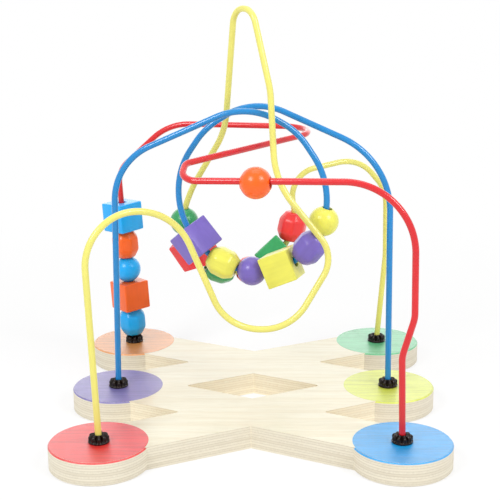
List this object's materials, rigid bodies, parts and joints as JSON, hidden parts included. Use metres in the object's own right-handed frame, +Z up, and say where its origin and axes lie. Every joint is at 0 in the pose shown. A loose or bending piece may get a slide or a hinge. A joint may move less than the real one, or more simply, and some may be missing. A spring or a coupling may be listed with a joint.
{
  "type": "bead maze",
  "caption": "Tabletop bead maze: bent coated wires rise from a lobed plywood base and carry painted wooden cubes, balls and faceted beads that slide along them.",
  "frame": {"origin": "under the middle of the base, on the surface that it stands on", "axes": "+Z up, -Y towards the front of the picture's view, +X to the viewer's right"},
  "size_m": [0.298, 0.3, 0.3266],
  "materials": {
    "plywood": "clear lacquered birch plywood, lobe tops painted",
    "yellow_coating": "gloss coating",
    "blue_coating": "gloss coating",
    "red_coating": "gloss coating",
    "black_plastic": "gloss moulded",
    "zinc_steel": "zinc plated",
    "blue_paint": "gloss painted wood",
    "orange_paint": "gloss painted wood",
    "purple_paint": "gloss painted wood",
    "yellow_paint": "gloss painted wood",
    "green_paint": "gloss painted wood",
    "red_paint": "gloss painted wood"
  },
  "bodies": {
    "maze": {"base_board": "plywood", "yellow_wire": "yellow_coating", "blue_wire": "blue_coating", "red_wire": "red_coating", "collar_front_left": "black_plastic", "collar_middle_left": "black_plastic", "collar_back_left": "black_plastic", "collar_front_right": "black_plastic", "collar_middle_right": "black_plastic", "collar_back_right": "black_plastic", "washers": "zinc_steel", "nuts": "zinc_steel"},
    "blue_faceted": {"blue_faceted": "blue_paint"},
    "orange_cube": {"orange_cube": "orange_paint"},
    "blue_ball": {"blue_ball": "blue_paint"},
    "orange_faceted": {"orange_faceted": "orange_paint"},
    "blue_cube": {"blue_cube": "blue_paint"},
    "orange_ball": {"orange_ball": "orange_paint"},
    "purple_cube": {"purple_cube": "purple_paint"},
    "yellow_faceted": {"yellow_faceted": "yellow_paint"},
    "purple_ball": {"purple_ball": "purple_paint"},
    "yellow_cube": {"yellow_cube": "yellow_paint"},
    "purple_faceted": {"purple_faceted": "purple_paint"},
    "yellow_ball": {"yellow_ball": "yellow_paint"},
    "green_ball": {"green_ball": "green_paint"},
    "red_cube": {"red_cube": "red_paint"},
    "green_faceted": {"green_faceted": "green_paint"},
    "red_ball": {"red_ball": "red_paint"},
    "green_cube": {"green_cube": "green_paint"},
    "red_faceted": {"red_faceted": "red_paint"}
  },
  "joints": [
    {"name": "blue_faceted_travel", "type": "slide", "parent": "maze", "child": "blue_faceted", "axis": [-0.0557, 0, 0.9984], "range_m": [0, 0.015]},
    {"name": "orange_cube_travel", "type": "slide", "parent": "maze", "child": "orange_cube", "axis": [-0.0557, 0, 0.9984], "range_m": [0, 0.015]},
    {"name": "blue_ball_travel", "type": "slide", "parent": "maze", "child": "blue_ball", "axis": [-0.0557, 0, 0.9984], "range_m": [0, 0.015]},
    {"name": "orange_faceted_travel", "type": "slide", "parent": "maze", "child": "orange_faceted", "axis": [-0.0557, 0, 0.9984], "range_m": [0, 0.015]},
    {"name": "blue_cube_travel", "type": "slide", "parent": "maze", "child": "blue_cube", "axis": [-0.0557, 0, 0.9984], "range_m": [0, 0.015]},
    {"name": "orange_ball_travel", "type": "slide", "parent": "maze", "child": "orange_ball", "axis": [0.9728, -0.229, 0.0349], "range_m": [-0.03, 0.05]},
    {"name": "purple_cube_travel", "type": "hinge", "parent": "maze", "child": "purple_cube", "pos_m": [0, 0, 0.1781], "axis": [-0.2756, -0.9613, 0], "range_deg": [-60, 38]},
    {"name": "yellow_faceted_travel", "type": "hinge", "parent": "maze", "child": "yellow_faceted", "pos_m": [0, 0, 0.1781], "axis": [-0.2756, -0.9613, 0], "range_deg": [-60, 38]},
    {"name": "purple_ball_travel", "type": "hinge", "parent": "maze", "child": "purple_ball", "pos_m": [0, 0, 0.1781], "axis": [-0.2756, -0.9613, 0], "range_deg": [-60, 38]},
    {"name": "yellow_cube_travel", "type": "hinge", "parent": "maze", "child": "yellow_cube", "pos_m": [0, 0, 0.1781], "axis": [-0.2756, -0.9613, 0], "range_deg": [-60, 38]},
    {"name": "purple_faceted_travel", "type": "hinge", "parent": "maze", "child": "purple_faceted", "pos_m": [0, 0, 0.1781], "axis": [-0.2756, -0.9613, 0], "range_deg": [-60, 38]},
    {"name": "yellow_ball_travel", "type": "hinge", "parent": "maze", "child": "yellow_ball", "pos_m": [0, 0, 0.1781], "axis": [-0.2756, -0.9613, 0], "range_deg": [-60, 38]},
    {"name": "green_ball_travel", "type": "hinge", "parent": "maze", "child": "green_ball", "pos_m": [-0.01115, 0.0585, 0.1476], "axis": [0.2588, -0.9659, 0], "range_deg": [-9, 9]},
    {"name": "red_cube_travel", "type": "hinge", "parent": "maze", "child": "red_cube", "pos_m": [-0.01115, 0.0585, 0.1476], "axis": [0.2588, -0.9659, 0], "range_deg": [-9, 9]},
    {"name": "green_faceted_travel", "type": "hinge", "parent": "maze", "child": "green_faceted", "pos_m": [-0.01115, 0.0585, 0.1476], "axis": [0.2588, -0.9659, 0], "range_deg": [-9, 9]},
    {"name": "red_ball_travel", "type": "hinge", "parent": "maze", "child": "red_ball", "pos_m": [-0.01115, 0.0585, 0.1476], "axis": [0.2588, -0.9659, 0], "range_deg": [-9, 9]},
    {"name": "green_cube_travel", "type": "hinge", "parent": "maze", "child": "green_cube", "pos_m": [-0.01115, 0.0585, 0.1476], "axis": [0.2588, -0.9659, 0], "range_deg": [-9, 9]},
    {"name": "red_faceted_travel", "type": "hinge", "parent": "maze", "child": "red_faceted", "pos_m": [-0.01115, 0.0585, 0.1476], "axis": [0.2588, -0.9659, 0], "range_deg": [-9, 9]}
  ],
  "couplings": [
    {"joint": "blue_faceted_travel", "follows": "orange_cube_travel", "ratio": 1},
    {"joint": "blue_ball_travel", "follows": "orange_cube_travel", "ratio": 1},
    {"joint": "orange_faceted_travel", "follows": "orange_cube_travel", "ratio": 1},
    {"joint": "blue_cube_travel", "follows": "orange_cube_travel", "ratio": 1},
    {"joint": "yellow_faceted_travel", "follows": "purple_cube_travel", "ratio": 1},
    {"joint": "purple_ball_travel", "follows": "purple_cube_travel", "ratio": 1},
    {"joint": "yellow_cube_travel", "follows": "purple_cube_travel", "ratio": 1},
    {"joint": "purple_faceted_travel", "follows": "purple_cube_travel", "ratio": 1},
    {"joint": "yellow_ball_travel", "follows": "purple_cube_travel", "ratio": 1},
    {"joint": "green_ball_travel", "follows": "red_cube_travel", "ratio": 1},
    {"joint": "green_faceted_travel", "follows": "red_cube_travel", "ratio": 1},
    {"joint": "red_ball_travel", "follows": "red_cube_travel", "ratio": 1},
    {"joint": "green_cube_travel", "follows": "red_cube_travel", "ratio": 1},
    {"joint": "red_faceted_travel", "follows": "red_cube_travel", "ratio": 1}
  ]
}
